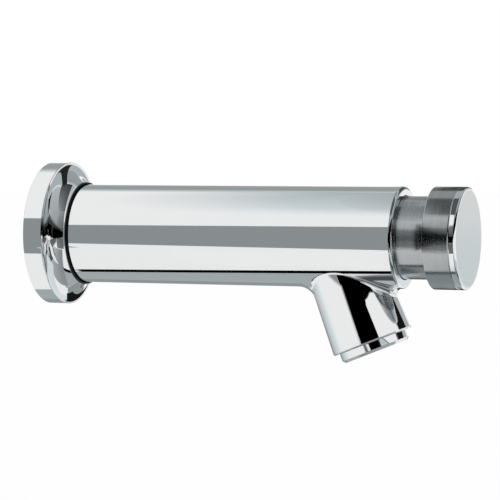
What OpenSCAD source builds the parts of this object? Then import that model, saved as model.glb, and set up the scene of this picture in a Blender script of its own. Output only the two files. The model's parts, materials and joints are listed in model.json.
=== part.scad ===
// Push timed tap for a wall. The wall is the plane x = 0, the barrel runs along +X and +Z is up.

/* [Barrel] */
// Outer diameter of the barrel
barrel_d = 38; // [32:0.5:46]
// Distance from the wall to the barrel's front face
barrel_front = 143.8; // [120:0.1:170]
// Distance from the wall to the barrel's end inside the flange
barrel_back = 7; // [6.5:0.1:9]
// Radius of the rounded edge at the barrel's front
barrel_edge = 1.3; // [0.5:0.1:2]
// Bevel at the barrel's hidden wall end
barrel_bevel = 0.8; // [0.3:0.1:1.5]
// Wall of the barrel round the water way
barrel_wall = 4.8; // [3.5:0.1:6]

/* [Spout] */
// Distance from the barrel's front face back to where the spout's axis meets the barrel's axis
spout_setback = 28.8; // [26:0.1:34]
// Angle of the spout forward of straight down
spout_tilt = 21.8; // [15:0.1:28]
// Length of the spout along its own axis, from the barrel's axis
spout_len = 42.1; // [39:0.1:52]
// Outer diameter of the spout's end
spout_end_d = 31; // [28:0.1:34]
// Half angle by which the spout widens downward
spout_flare = 2.6; // [1:0.1:4]
// Bevel round the spout's lower edge
spout_bevel = 0.5; // [0.2:0.1:1]
// Radius of the blend between spout and barrel on the wall side
blend_back = 7.2; // [4:0.1:9]
// Radius of the blend under the barrel's front edge
blend_front = 2.5; // [1:0.1:3]
// Radius of the blend along the spout's two sides
blend_side = 1.1; // [0.8:0.1:4]
// Least metal between the valve bore and the spout's hollow
spout_web = 3.3; // [2.5:0.1:5]

/* [Water ways] */
// Diameter of the hole drilled from the spout's hollow into the valve bore
outlet_drill_d = 10; // [6:0.5:11]
// Offset of that hole toward the wall from the spout's axis
outlet_drill_offset = 4; // [2:0.1:5]
// Diameter of the hollow above the aerator
hollow_d = 21.6; // [18:0.1:22]

/* [Wall flange] */
// How far the flange's rim stands out beyond its lip
flange_reach = 7.75; // [6.5:0.05:14]
// Depth of the straight rim
flange_rim = 7.6; // [5:0.1:10]
// Angle through which the hollowed face turns from rim to lip
flange_sweep = 85.8; // [75:0.1:89]
// Thickness of the rim
flange_rim_wall = 1.8; // [1.2:0.1:3]
// Metal between the hollow back and the rim's front edge
flange_face_wall = 1.8; // [1.2:0.1:3]
// Thickness of the lip that meets the barrel
flange_lip = 0.45; // [0.3:0.05:1]
// Gap between the flange and the barrel, which shows as a dark line
flange_gap = 0.3; // [0.2:0.05:0.6]
// Thickness of the grip ring inside the flange
flange_ring_t = 1.5; // [1.2:0.05:1.6]

/* [Inlet] */
// Outer diameter of the pipe thread
inlet_thread_d = 20.955; // [16:0.005:27]
// Length of the pipe thread behind its collar
inlet_thread_len = 13; // [12:0.5:25]
// Bevel at the thread's end
inlet_bevel = 1.2; // [0.6:0.1:2]
// Diameter of the collar that seats on the barrel's end
collar_d = 26; // [24:0.1:30]
// Thickness of the collar
collar_t = 1.5; // [1:0.1:3]
// Diameter of the part that screws into the barrel
nipple_plug_d = 18.8; // [16:0.1:22]
// Length of that part
nipple_plug_len = 13; // [10:0.1:16]
// Bore of the connector
inlet_bore_d = 11; // [8:0.1:12]
// Width across flats of the key hole
inlet_key = 12; // [10:0.1:13]
// Depth of the key hole beyond the strainer
inlet_key_depth = 8; // [5:0.1:10]
// Thickness of the connector's seal ring
nipple_ring_t = 1.6; // [1.2:0.05:2]
// Diameter of the pocket that takes the strainer
strainer_d = 16.4; // [13:0.1:17]
// Depth of that pocket
strainer_depth = 3; // [2:0.1:4]
// Thickness of the strainer's rim
strainer_rim_t = 2.2; // [1.5:0.1:3]
// Width of the strainer's rim
strainer_rim_w = 1.5; // [1:0.1:2.5]
// Thickness of the strainer's plate
strainer_plate_t = 0.6; // [0.4:0.1:1]
// Diameter of each strainer hole
strainer_hole_d = 1.2; // [0.8:0.1:1.5]
// Distance between strainer holes
strainer_pitch = 1.9; // [1.7:0.1:2.6]

/* [Button] */
// Diameter of the button's neck
neck_d = 30.8; // [28:0.1:33]
// Length of the neck that shows at rest
neck_show = 11.4; // [10.5:0.1:16]
// Distance that the button travels when pushed
button_travel = 9; // [5:0.1:10]
// Wall of the hollow neck
neck_wall = 2.1; // [1.5:0.1:2.6]
// How far the knob's side stands back from the barrel's outline
knob_step = 0; // [0:0.1:2]
// Length of the knob without its cap
knob_len = 9.85; // [8:0.05:14]
// Bevels of the knob's two edges
knob_bevel = 0.35; // [0.2:0.05:0.8]
// How far the hollow reaches into the knob
knob_hollow = 1.8; // [1:0.1:3]
// Thickness of the floor that the stem is screwed to
knob_floor = 3.5; // [2.5:0.1:4.5]
// Thickness of the front cap
cap_t = 2.75; // [2:0.05:4]
// Radius of the cap's front edge
cap_edge = 0.9; // [0.4:0.1:1.4]
// Length of the cap's ring in the knob
cap_plug = 2; // [1.2:0.1:2.2]
// Wall of that ring
cap_plug_wall = 1.5; // [1:0.1:2.5]
// Length of the guide ring in the barrel's mouth
guide_len = 3.6; // [2.5:0.1:5]
// Radial thickness of the metal cut away for the guide ring
guide_depth = 1; // [0.7:0.1:1.4]
// Metal in front of the guide ring
guide_lip = 1.1; // [0.8:0.1:2]
// Width of the slot in the guide ring
guide_slot = 0.8; // [0.5:0.1:1.5]

/* [Cartridge] */
// Length of the sealing land in front of the outlet
front_land = 4.4; // [3.8:0.1:6]
// Length of the sealing land at the seat end
rear_land = 5.6; // [5:0.1:8]
// Length of the sleeve's nose that reaches into the neck
nose_len = 12; // [10:0.1:13]
// Wall of the sleeve's nose
sleeve_wall = 1.6; // [1.2:0.1:2]
// Wall of the sleeve where water flows round it
relief_wall = 2.1; // [1.5:0.1:2.5]
// Thickness of the seal rings on the sleeve
sleeve_ring_t = 1.8; // [1.4:0.05:2]
// Distance from the outlet drilling back to the ports
port_lead = 8.5; // [6:0.1:12]
// Diameter of each port
port_d = 4.6; // [3:0.1:5]
// Number of ports
port_count = 6; // [4:1:8]
// Thickness of the wall that carries the valve seat
seat_wall = 4; // [3:0.1:4.5]
// Diameter of the hole in the valve seat
seat_d = 11; // [9.5:0.1:11.5]
// Height of the raised seat
seat_lip = 1; // [0.6:0.1:1.5]
// Width of the raised seat
seat_lip_w = 1.2; // [0.8:0.1:1.5]
// Width of the step that the stem guide rests on
guide_step = 0.8; // [0.5:0.1:1.2]
// Number of key slots in the front land
key_slots = 4; // [2:1:6]
// Width of each key slot
key_slot_w = 3; // [2:0.1:4]
// Depth of each key slot
key_slot_depth = 1; // [0.5:0.1:1.1]

/* [Stem and piston] */
// Diameter of the stem
stem_d = 7; // [6:0.1:7.5]
// Diameter of the stem's threaded ends
stem_end_d = 5; // [4.6:0.1:5.4]
// Diameter of the screw at the button
screw_d = 3; // [2.5:0.1:3.4]
// Length of that screw below its head
screw_len = 11; // [8:0.1:14]
// Diameter of the screw's head
screw_head_d = 7; // [6:0.1:9]
// Height of the screw's head
screw_head_t = 2; // [1.6:0.1:2.2]
// Width across flats of the screw's key hole
screw_key = 2.5; // [2:0.1:3]
// Thickness of the stem guide
stem_guide_t = 6; // [5.4:0.1:8]
// Thickness of the seal rings on the stem guide
guide_ring_t = 1.4; // [1.2:0.05:1.6]
// Length of the piston
piston_len = 6; // [5:0.1:7]
// Height of the piston's lip seal
seal_h = 2.4; // [2:0.1:3]
// Radial thickness of the lip seal
seal_w = 2.2; // [1.6:0.1:2.6]
// Diameter of the stem's collar in front of the piston
stem_collar_d = 10; // [9:0.1:12]
// Thickness of that collar
stem_collar_t = 2.4; // [1.5:0.1:4]
// Outer diameter of the clip behind the piston
clip_d = 10.8; // [10:0.1:12]
// Thickness of the clip
clip_t = 1; // [0.7:0.1:1.4]
// Diameter of the timing screw
timing_d = 2.2; // [1.8:0.1:2.4]
// Width of the stop ring in the sleeve's mouth
stop_w = 1.6; // [1:0.1:2]
// Thickness of the stop ring
stop_t = 1; // [0.8:0.1:1.4]
// Depth of the stop ring's groove
stop_groove = 0.6; // [0.4:0.05:0.9]

/* [Valve washer] */
// Diameter of the rubber disc
washer_d = 16.4; // [15.6:0.1:18]
// Thickness of the rubber disc
washer_t = 3; // [2:0.1:4]
// Wall of the cup behind the disc
cup_wall = 0.8; // [0.6:0.1:1.5]
// Thickness of the cup's floor
cup_floor = 1.5; // [1:0.1:2.5]
// Width across flats of the nut
nut_flats = 8; // [7.5:0.1:10]
// Thickness of the nut
nut_t = 4; // [3:0.1:5]

/* [Return spring] */
// Diameter of the wire
wire_d = 1.2; // [0.9:0.05:1.4]
// Mean diameter of the coil
coil_d = 16; // [14.5:0.1:18]
// Number of turns
coil_turns = 5.5; // [4:0.5:6]

/* [Aerator] */
// Diameter of the aerator's thread
aerator_thread_d = 24; // [22:0.1:25]
// Depth of the threaded mouth
aerator_depth = 10.6; // [8:0.1:14]
// Diameter of the ring that shows
aerator_ring_d = 26.4; // [25.2:0.1:28]
// Height of the ring that shows
aerator_ring_t = 3.9; // [2.5:0.1:5]
// Bevel round the ring's lower edge
aerator_bevel = 1; // [0.5:0.1:1.5]
// Wall of the housing
aerator_wall = 1.3; // [1:0.1:1.6]
// Thickness of the lip that holds the lattice
aerator_lip_t = 1.2; // [0.8:0.1:1.6]
// Width of that lip
aerator_lip_w = 1.2; // [0.8:0.1:2]
// Thickness of the gasket
gasket_t = 1.8; // [1.2:0.1:2.5]
// Width of the gasket
gasket_w = 2.8; // [2:0.1:3.5]
// Thickness of the lattice at the outlet
screen_t = 1.2; // [0.8:0.1:1.6]
// Distance between the lattice's openings
screen_pitch = 2.3; // [2:0.1:3]
// Bar between the lattice's openings
screen_bar = 0.6; // [0.4:0.1:0.8]
// Thickness of the jet former's plate
jet_plate_t = 2; // [1.5:0.1:3]
// Wall of the jet former
jet_wall = 1.1; // [0.8:0.1:1.6]
// Diameter of each jet
jet_d = 1.2; // [0.8:0.1:1.6]
// Number of jets in the outer row
jet_count = 16; // [8:1:20]

/* [Clearances] */
// Radial gap between pieces that move past each other without guiding
slide_clear = 0.3; // [0.2:0.05:0.4]
// Radial gap of a piece that runs in its guide
run_clear = 0.06; // [0.02:0.01:0.1]
// Gap between pieces that are fixed together
fit_clear = 0.05; // [0.02:0.01:0.1]
// Gap left at the end of the travel
end_gap = 0.5; // [0.3:0.05:1]

/* [Hidden] */
fine = 96;
eps = 0.01;
blend_steps = 48;
blend_rows = 6;
blend_trim = 0.12;
blend_sink = 0.25;
blend_core = 1.2;
coil_rings = 8;
coil_sides = 6;
hex_sides = 6;

barrel_r = barrel_d / 2;
neck_r = neck_d / 2;
bore_r = neck_r + slide_clear;
sleeve_r = bore_r - fit_clear;
neck_in_r = neck_r - neck_wall;
nose_r = neck_in_r - slide_clear;
chamber_r = nose_r - sleeve_wall;
relief_r = chamber_r + relief_wall;
outlet_r = chamber_r - guide_step;
waterway_r = barrel_r - barrel_wall;
stem_r = stem_d / 2;
stem_end_r = stem_end_d / 2;
piston_r = chamber_r - slide_clear;

spout_x = barrel_front - spout_setback;
spout_slope = tan(spout_flare);
spout_end_r = spout_end_d / 2;
spout_root_r = spout_end_r - spout_slope * spout_len;
spout_axis = [sin(spout_tilt), 0, -cos(spout_tilt)];
spout_front = [cos(spout_tilt), 0, sin(spout_tilt)];
spout_side = [0, 1, 0];
hollow_r = hollow_d / 2;
hollow_top = (bore_r + spout_web + hollow_r * sin(spout_tilt)) / cos(spout_tilt);

// Where the outlet drilling breaks into the valve bore
drill_r = outlet_drill_d / 2;
drill_depth = (bore_r - outlet_drill_offset * sin(spout_tilt)) / cos(spout_tilt);
drill_x = spout_x + drill_depth * sin(spout_tilt) - outlet_drill_offset * cos(spout_tilt);
drill_half = drill_r / cos(spout_tilt);

// Stations of the cartridge along the barrel
land_margin = 0.8;
land_back = drill_x + drill_half + land_margin;
land_front = land_back + front_land;
port_r = port_d / 2;
port_x = drill_x - drill_half - port_lead;
relief_back = port_x - port_r - land_margin;
sleeve_back = relief_back - rear_land;
seat_x = sleeve_back - seat_lip;
guide_back = port_x + port_r + land_margin;
guide_front = guide_back + stem_guide_t;
nose_front = land_front + nose_len;
stop_front = nose_front - stop_t;
stop_back = stop_front - stop_t;
piston_front = stop_back - slide_clear;
piston_back = piston_front - piston_len;

// Stations of the button
neck_back = land_front + end_gap + button_travel;
knob_back = barrel_front + neck_show;
knob_front = knob_back + knob_len;
floor_back = knob_back + knob_hollow;
floor_front = floor_back + knob_floor;
knob_r = barrel_r - knob_step;
recess_r = neck_in_r;

// Grooves: a ring of round section sits in a groove a little wider than itself
ring_room = 1.3;
sleeve_groove_r = sleeve_r - sleeve_ring_t;
rear_ring_x = sleeve_back + seat_wall / 2 + land_margin;
front_ring_x = land_back + front_land / 2 - key_slot_depth / 2;

// Flange
flange_bore_r = barrel_r + flange_gap;
flange_lip_r = flange_bore_r + flange_lip;
flange_r = flange_lip_r + flange_reach;
cove_r = flange_reach / sin(flange_sweep);
flange_depth = flange_rim + cove_r * (1 - cos(flange_sweep));
flange_ring_r = flange_ring_t / 2;
flange_ring_x = barrel_back + barrel_bevel + flange_ring_t;
flange_groove_r = barrel_r + run_clear + flange_ring_t + fit_clear;

// Inlet
thread_r = inlet_thread_d / 2;
nipple_plug_r = nipple_plug_d / 2;
socket_r = nipple_plug_r + fit_clear;
socket_front = barrel_back + nipple_plug_len + end_gap;
nipple_front = barrel_back + nipple_plug_len;
nipple_ring_x = nipple_front - nipple_ring_t * 1.5;
strainer_r = strainer_d / 2;
thread_front = barrel_back - collar_t;
thread_back = thread_front - inlet_thread_len;
strainer_front = thread_back + strainer_depth;

// Aerator, measured down the spout's axis
aerator_r = aerator_thread_d / 2;
mouth_top = spout_len - aerator_depth;
shell_r = aerator_r - fit_clear;
shell_in_r = shell_r - aerator_wall;
housing_top = mouth_top + gasket_t;
ring_bottom = spout_len + aerator_ring_t;
lip_top = ring_bottom - aerator_lip_t;
screen_top = lip_top - screen_t;
insert_r = shell_in_r - fit_clear;
lip_r = shell_in_r - aerator_lip_w;

// Blend between spout and barrel: a ball of changing radius rolls round the joint
corner_d = (barrel_r + spout_root_r * sin(spout_tilt)) / (cos(spout_tilt) - spout_slope * sin(spout_tilt));
corner_r = spout_root_r + spout_slope * corner_d;
corner_x = spout_x + corner_d * sin(spout_tilt) + corner_r * cos(spout_tilt);
corner_half = (90 - spout_tilt - spout_flare) / 2;
blend_room = max(barrel_front - barrel_edge - corner_x, eps) * tan(corner_half);
blend_front_fit = min(blend_front, blend_room);

function blend_r(a) =
    let (c = cos(a))
    blend_side + ((c > 0 ? blend_front_fit : blend_back) - blend_side) * c * c;

function round_spout(a) = spout_front * cos(a) + spout_side * sin(a);

function ball_depth(a, r) =
    let (k = spout_root_r + r * cos(spout_flare))
    let (p = cos(spout_tilt) - spout_slope * cos(a) * sin(spout_tilt))
    let (q = -r * sin(spout_flare) * cos(spout_tilt) - k * cos(a) * sin(spout_tilt))
    let (s = spout_slope * sin(a))
    let (t = k * sin(a))
    let (m = p * q + s * t)
    let (n = p * p + s * s)
    let (reach = barrel_r + r)
    (-m + sqrt(m * m - n * (q * q + t * t - reach * reach))) / n;

function across(v) = [0, v[1], v[2]];

function unit(v) = v / norm(v);

function blend_section(a) =
    let (r = blend_r(a))
    let (d = ball_depth(a, r))
    let (out = round_spout(a))
    let (normal = out * cos(spout_flare) - spout_axis * sin(spout_flare))
    let (low = [spout_x, 0, 0] + spout_axis * d + out * (spout_root_r + spout_slope * d))
    let (ball = low + normal * r)
    let (high = ball - across(ball) * r / (barrel_r + r))
    let (va = (low - ball) / r)
    let (vb = (high - ball) / r)
    let (sweep = acos(va * vb))
    let (core = ball + unit(va + vb) * (r / cos(sweep / 2) + blend_core))
    concat(
        [low - normal * blend_sink],
        [
            for (i = [0 : blend_rows])
            let (t = blend_trim + (1 - 2 * blend_trim) * i / blend_rows)
            ball + (va * sin((1 - t) * sweep) + vb * sin(t * sweep)) * r / sin(sweep)
        ],
        [high - unit(across(high)) * blend_sink],
        [core]
    );

// Faces of a tube whose ring i holds the points from i * n to i * n + n - 1
function tube_faces(rings, n, closed) =
    [
        for (i = [0 : closed ? rings - 1 : rings - 2])
        for (j = [0 : n - 1])
        let (k = (i + 1) % rings)
        let (l = (j + 1) % n)
        each [[i * n + j, k * n + j, k * n + l], [i * n + j, k * n + l, i * n + l]]
    ];

function fan(start, n, flip) =
    [for (j = [1 : n - 2]) flip ? [start, start + j + 1, start + j] : [start, start + j, start + j + 1]];

// Spring: rings of points along a helix from the guide to the piston
wire_r = wire_d / 2;
coil_r = coil_d / 2;
coil_start = guide_front + wire_r + fit_clear;
coil_end = piston_back - wire_r - fit_clear;
coil_steps = round(coil_turns * coil_rings);

function coil_angle(i) = 360 * i / coil_rings;

function coil_x(i) = coil_start + (coil_end - coil_start) * i / coil_steps;

function coil_point(i, r, x) = [coil_x(i) + x, r * cos(coil_angle(i)), r * sin(coil_angle(i))];

coil_points =
    [
        for (i = [0 : coil_steps])
        for (j = [0 : coil_sides - 1])
        let (b = 360 * j / coil_sides)
        coil_point(i, coil_r + wire_r * sin(b), wire_r * cos(b))
    ];

coil_gap =
    min([
        for (i = [0 : coil_steps - coil_rings])
        norm(coil_point(i + coil_rings, coil_r, 0) - coil_point(i, coil_r, 0)) - wire_d
    ]);

echo(least_gap_between_turns = coil_gap);

// A profile drawn as radius and distance, turned about the barrel's axis
module turned() {
    rotate([0, 90, 0])
        rotate_extrude($fn = fine)
            children();
}

// The same about the spout's axis, with distance measured down the spout
module turned_spout() {
    along_spout()
        rotate_extrude($fn = fine)
            children();
}

module along_spout() {
    translate([spout_x, 0, 0])
        rotate([0, 180 - spout_tilt, 0])
            children();
}

module band(r_in, r_out, from, to) {
    translate([r_in, from])
        square([r_out - r_in, to - from]);
}

// A disc with one rounded edge at its far end
module rounded_band(r_in, r_out, from, to, edge) {
    band(r_in, r_out, from, to - edge);
    band(r_in, r_out - edge, from, to);
    translate([r_out - edge, to - edge])
        circle(r = edge, $fn = fine);
}

module ring_dot(r, at, thick) {
    translate([r, at])
        circle(r = thick / 2, $fn = fine);
}

module groove(r_in, r_out, at, thick) {
    band(r_in, r_out, at - thick * ring_room / 2, at + thick * ring_room / 2);
}

module hexagon(flats) {
    circle(r = flats / 2 / cos(30), $fn = hex_sides);
}

module blend() {
    rows = blend_rows + 4;
    points = [for (i = [0 : blend_steps - 1]) each blend_section(-360 * i / blend_steps)];
    polyhedron(points = points, faces = tube_faces(blend_steps, rows, true));
}

module barrel_outside() {
    turned()
        difference() {
            rounded_band(0, barrel_r, barrel_back, barrel_front, barrel_edge);
            polygon([
                [barrel_r - barrel_bevel, barrel_back],
                [barrel_r + eps, barrel_back - eps],
                [barrel_r, barrel_back + barrel_bevel]
            ]);
        }
}

module spout_outside() {
    bevel_r = spout_end_r - spout_slope * spout_bevel;
    turned_spout()
        polygon([
            [0, 0],
            [spout_root_r, 0],
            [bevel_r, spout_len - spout_bevel],
            [spout_end_r - spout_bevel, spout_len],
            [0, spout_len]
        ]);
}

module tap_body() {
    guide_front_x = barrel_front - guide_lip;
    color("silver")
        difference() {
            union() {
                barrel_outside();
                spout_outside();
                blend();
            }
            turned() {
                band(0, socket_r, barrel_back - eps, socket_front + eps);
                band(0, waterway_r, socket_front, sleeve_back + eps);
                band(0, bore_r, sleeve_back, barrel_front + eps);
                band(0, bore_r + guide_depth, guide_front_x - guide_len, guide_front_x);
            }
            turned_spout() {
                band(0, hollow_r, hollow_top, mouth_top + eps);
                band(0, aerator_r, mouth_top, spout_len + eps);
            }
            along_spout()
                translate([outlet_drill_offset, 0, drill_depth - drill_r])
                    cylinder(r = drill_r, h = hollow_top - drill_depth + drill_r + eps, $fn = fine);
        }
}

module inlet_nipple() {
    color("goldenrod")
        difference() {
            turned()
                difference() {
                    union() {
                        band(0, thread_r, thread_back, thread_front + eps);
                        band(0, collar_d / 2, thread_front, barrel_back);
                        band(0, nipple_plug_r, barrel_back - eps, nipple_front);
                    }
                    band(0, inlet_bore_d / 2, thread_back - eps, nipple_front + eps);
                    band(0, strainer_r, thread_back - eps, strainer_front);
                    groove(nipple_plug_r - nipple_ring_t, nipple_plug_r + eps, nipple_ring_x, nipple_ring_t);
                    polygon([
                        [thread_r - inlet_bevel, thread_back],
                        [thread_r + eps, thread_back - eps],
                        [thread_r, thread_back + inlet_bevel]
                    ]);
                }
            translate([strainer_front - eps, 0, 0])
                rotate([0, 90, 0])
                    linear_extrude(height = inlet_key_depth + eps)
                        hexagon(inlet_key);
        }
}

module nipple_o_ring() {
    color("dimgray")
        turned()
            ring_dot(nipple_plug_r - nipple_ring_t / 2, nipple_ring_x, nipple_ring_t - fit_clear);
}

module inlet_strainer() {
    rim_r = strainer_r - fit_clear;
    plate_r = rim_r - strainer_rim_w;
    reach = floor(plate_r / strainer_pitch);
    hole_r = strainer_hole_d / 2;
    color("lightgray")
        difference() {
            turned() {
                band(plate_r, rim_r, strainer_front - strainer_rim_t, strainer_front);
                band(0, plate_r + eps, strainer_front - strainer_plate_t, strainer_front);
            }
            for (i = [-reach : reach])
                for (j = [-reach : reach])
                    if (norm([i, j]) * strainer_pitch + hole_r < plate_r - hole_r / 2)
                        translate([strainer_front - strainer_plate_t - eps, i * strainer_pitch, j * strainer_pitch])
                            rotate([0, 90, 0])
                                cylinder(r = hole_r, h = strainer_plate_t + 2 * eps, $fn = fine);
        }
}

module cartridge_sleeve() {
    seat_r = seat_d / 2;
    slot_reach = sleeve_r - nose_r + eps;
    color("darkkhaki")
        difference() {
            turned()
                difference() {
                    union() {
                        band(0, sleeve_r, sleeve_back, relief_back);
                        band(0, relief_r, relief_back - eps, land_back + eps);
                        band(0, sleeve_r, land_back, land_front);
                        band(0, nose_r, land_front - eps, nose_front);
                        band(seat_r, seat_r + seat_lip_w, seat_x, sleeve_back + eps);
                    }
                    band(0, seat_r, seat_x - eps, sleeve_back + seat_wall + eps);
                    band(0, outlet_r, sleeve_back + seat_wall, guide_back + eps);
                    band(0, chamber_r, guide_back, nose_front + eps);
                    band(0, chamber_r + stop_groove, stop_back, stop_front);
                    groove(sleeve_groove_r, sleeve_r + eps, rear_ring_x, sleeve_ring_t);
                    groove(sleeve_groove_r, sleeve_r + eps, front_ring_x, sleeve_ring_t);
                }
            for (i = [0 : port_count - 1])
                translate([port_x, 0, 0])
                    rotate([360 * i / port_count, 0, 0])
                        translate([0, 0, outlet_r - land_margin])
                            cylinder(r = port_r, h = relief_r - outlet_r + 2 * land_margin, $fn = fine);
            for (i = [0 : key_slots - 1])
                rotate([360 * i / key_slots, 0, 0])
                    translate([land_front - key_slot_depth, -key_slot_w / 2, nose_r])
                        cube([key_slot_depth + eps, key_slot_w, slot_reach]);
        }
}

module cartridge_o_rings() {
    color("dimgray")
        for (at = [rear_ring_x, front_ring_x])
            turned()
                ring_dot(sleeve_r - sleeve_ring_t / 2 + fit_clear / 2, at, sleeve_ring_t - fit_clear);
}

module stem_guide() {
    guide_r = chamber_r - fit_clear;
    color("whitesmoke")
        turned()
            difference() {
                band(stem_r + run_clear, guide_r, guide_back, guide_front);
                groove(stem_r, stem_r + run_clear + guide_ring_t, guide_back + stem_guide_t / 3, guide_ring_t);
                groove(guide_r - guide_ring_t, guide_r + eps, guide_front - stem_guide_t / 3, guide_ring_t);
            }
}

module stem_o_ring() {
    color("dimgray")
        turned()
            ring_dot(stem_r + run_clear + guide_ring_t / 2, guide_back + stem_guide_t / 3, guide_ring_t - fit_clear);
}

module guide_o_ring() {
    ring_r = chamber_r - fit_clear - guide_ring_t / 2;
    color("dimgray")
        turned()
            ring_dot(ring_r, guide_front - stem_guide_t / 3, guide_ring_t - fit_clear);
}

module return_spring() {
    faces = concat(
        tube_faces(coil_steps + 1, coil_sides, false),
        fan(0, coil_sides, false),
        fan(coil_steps * coil_sides, coil_sides, true)
    );
    color("lightsteelblue")
        polyhedron(points = coil_points, faces = faces);
}

module piston_circlip() {
    slot = stop_w * 2;
    color("slategray")
        difference() {
            turned()
                band(chamber_r - stop_w, chamber_r + stop_groove - fit_clear, stop_back, stop_front);
            translate([stop_back - eps, -slot / 2, 0])
                cube([stop_t + 2 * eps, slot, chamber_r + stop_groove]);
        }
}

module button_guide() {
    guide_front_x = barrel_front - guide_lip;
    out_r = bore_r + guide_depth - fit_clear;
    color("white")
        difference() {
            turned()
                band(neck_r + run_clear, out_r, guide_front_x - guide_len + fit_clear, guide_front_x - fit_clear);
            translate([guide_front_x - guide_len, -guide_slot / 2, 0])
                cube([guide_len, guide_slot, out_r + eps]);
        }
}

module aerator_housing() {
    ring_r = aerator_ring_d / 2;
    color("gainsboro")
        turned_spout()
            difference() {
                union() {
                    band(0, shell_r, housing_top, spout_len + eps);
                    polygon([
                        [0, spout_len],
                        [ring_r, spout_len],
                        [ring_r, ring_bottom - aerator_bevel],
                        [ring_r - aerator_bevel, ring_bottom],
                        [0, ring_bottom]
                    ]);
                }
                band(0, shell_in_r, housing_top - eps, lip_top);
                band(0, lip_r, lip_top - eps, ring_bottom + eps);
            }
}

module aerator_gasket() {
    color("dimgray")
        turned_spout()
            band(shell_r - gasket_w, shell_r, mouth_top, housing_top);
}

module aerator_insert() {
    inner_row = floor(jet_count / 2);
    row_r = insert_r - jet_wall - jet_d;
    color("white")
        difference() {
            turned_spout() {
                band(0, insert_r, housing_top + fit_clear, housing_top + jet_plate_t);
                band(insert_r - jet_wall, insert_r, housing_top + jet_plate_t - eps, screen_top);
            }
            along_spout() {
                for (i = [0 : jet_count - 1])
                    rotate([0, 0, 360 * i / jet_count])
                        translate([row_r, 0, housing_top])
                            cylinder(r = jet_d / 2, h = jet_plate_t + eps, $fn = fine);
                for (i = [0 : inner_row - 1])
                    rotate([0, 0, 360 * i / inner_row])
                        translate([row_r / 2, 0, housing_top])
                            cylinder(r = jet_d / 2, h = jet_plate_t + eps, $fn = fine);
            }
        }
}

module aerator_screen() {
    reach = floor(lip_r / screen_pitch);
    open = screen_pitch - screen_bar;
    color("gainsboro")
        along_spout()
            translate([0, 0, screen_top])
                linear_extrude(height = screen_t)
                    difference() {
                        circle(r = insert_r, $fn = fine);
                        for (i = [-reach : reach])
                            for (j = [-reach : reach])
                                if (norm([abs(i) * screen_pitch + open / 2, abs(j) * screen_pitch + open / 2]) < lip_r)
                                    translate([i * screen_pitch, j * screen_pitch])
                                        square(open, center = true);
                    }
}

module push_button() {
    bevel = knob_bevel;
    color("darkgray")
        turned()
            difference() {
                polygon([
                    [0, neck_back],
                    [neck_r - bevel, neck_back],
                    [neck_r, neck_back + bevel],
                    [neck_r, knob_back],
                    [knob_r - bevel, knob_back],
                    [knob_r, knob_back + bevel],
                    [knob_r, knob_front - bevel],
                    [knob_r - bevel, knob_front],
                    [0, knob_front]
                ]);
                band(0, neck_in_r, neck_back - eps, floor_back);
                band(0, stem_end_r + fit_clear, floor_back - eps, floor_front + eps);
                band(0, recess_r, floor_front, knob_front + eps);
            }
}

module button_cap() {
    bevel = knob_bevel;
    cap_front = knob_front + cap_t;
    plug_r = recess_r - fit_clear;
    color("lightgray")
        turned() {
            difference() {
                rounded_band(0, knob_r, knob_front, cap_front, cap_edge);
                polygon([
                    [knob_r - bevel, knob_front],
                    [knob_r + eps, knob_front - eps],
                    [knob_r, knob_front + bevel]
                ]);
            }
            band(plug_r - cap_plug_wall, plug_r, knob_front - cap_plug, knob_front + eps);
        }
}

module button_screw() {
    color("slategray")
        difference() {
            turned() {
                band(0, screw_d / 2, floor_front - screw_len, floor_front + eps);
                band(0, screw_head_d / 2, floor_front, floor_front + screw_head_t);
            }
            translate([floor_front + screw_head_t / 3, 0, 0])
                rotate([0, 90, 0])
                    linear_extrude(height = screw_head_t)
                        hexagon(screw_key);
        }
}

module stem() {
    tail = seat_x - washer_t - cup_floor - nut_t - end_gap;
    color("darkgoldenrod")
        turned()
            difference() {
                union() {
                    band(0, stem_end_r, tail, seat_x + eps);
                    band(0, stem_r, seat_x, floor_back);
                    band(0, stem_collar_d / 2, piston_front, piston_front + stem_collar_t);
                    band(0, stem_end_r, floor_back - eps, floor_front - fit_clear);
                }
                band(0, screw_d / 2 + fit_clear, floor_front - screw_len - end_gap, floor_front);
                band(stem_end_r, stem_r + eps, piston_back - clip_t, piston_back);
            }
}

module piston() {
    groove_r = piston_r - seal_w;
    timing_r = (stem_r + groove_r) / 2;
    mid = (piston_back + piston_front) / 2;
    color("whitesmoke")
        difference() {
            turned()
                difference() {
                    band(stem_r + fit_clear, piston_r, piston_back, piston_front);
                    band(groove_r, piston_r + eps, mid - seal_h / 2 - fit_clear, mid + seal_h / 2 + fit_clear);
                }
            translate([piston_back - eps, 0, timing_r])
                rotate([0, 90, 0])
                    cylinder(r = timing_d / 2 + fit_clear, h = piston_len + 2 * eps, $fn = fine);
        }
}

module piston_seal() {
    groove_r = piston_r - seal_w + fit_clear;
    out_r = chamber_r - run_clear;
    mid = (piston_back + piston_front) / 2;
    lip = (out_r - groove_r) / 3;
    color("dimgray")
        turned()
            difference() {
                band(groove_r, out_r, mid - seal_h / 2, mid + seal_h / 2);
                polygon([
                    [groove_r + lip, mid - seal_h / 2 - eps],
                    [out_r - lip, mid - seal_h / 2 - eps],
                    [(groove_r + out_r) / 2, mid]
                ]);
            }
}

module timing_screw() {
    groove_r = piston_r - seal_w;
    timing_r = (stem_r + groove_r) / 2;
    tip = timing_d;
    slot = timing_d / 3;
    color("slategray")
        translate([0, 0, timing_r])
            difference() {
                turned()
                    polygon([
                        [0, piston_back + tip / 2],
                        [timing_d / 6, piston_back + tip / 2],
                        [timing_d / 2, piston_back + tip],
                        [timing_d / 2, piston_front - slide_clear],
                        [0, piston_front - slide_clear]
                    ]);
                translate([piston_front - slide_clear - slot, -timing_d, -slot / 2])
                    cube([timing_d, timing_d * 2, slot]);
            }
}

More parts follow.
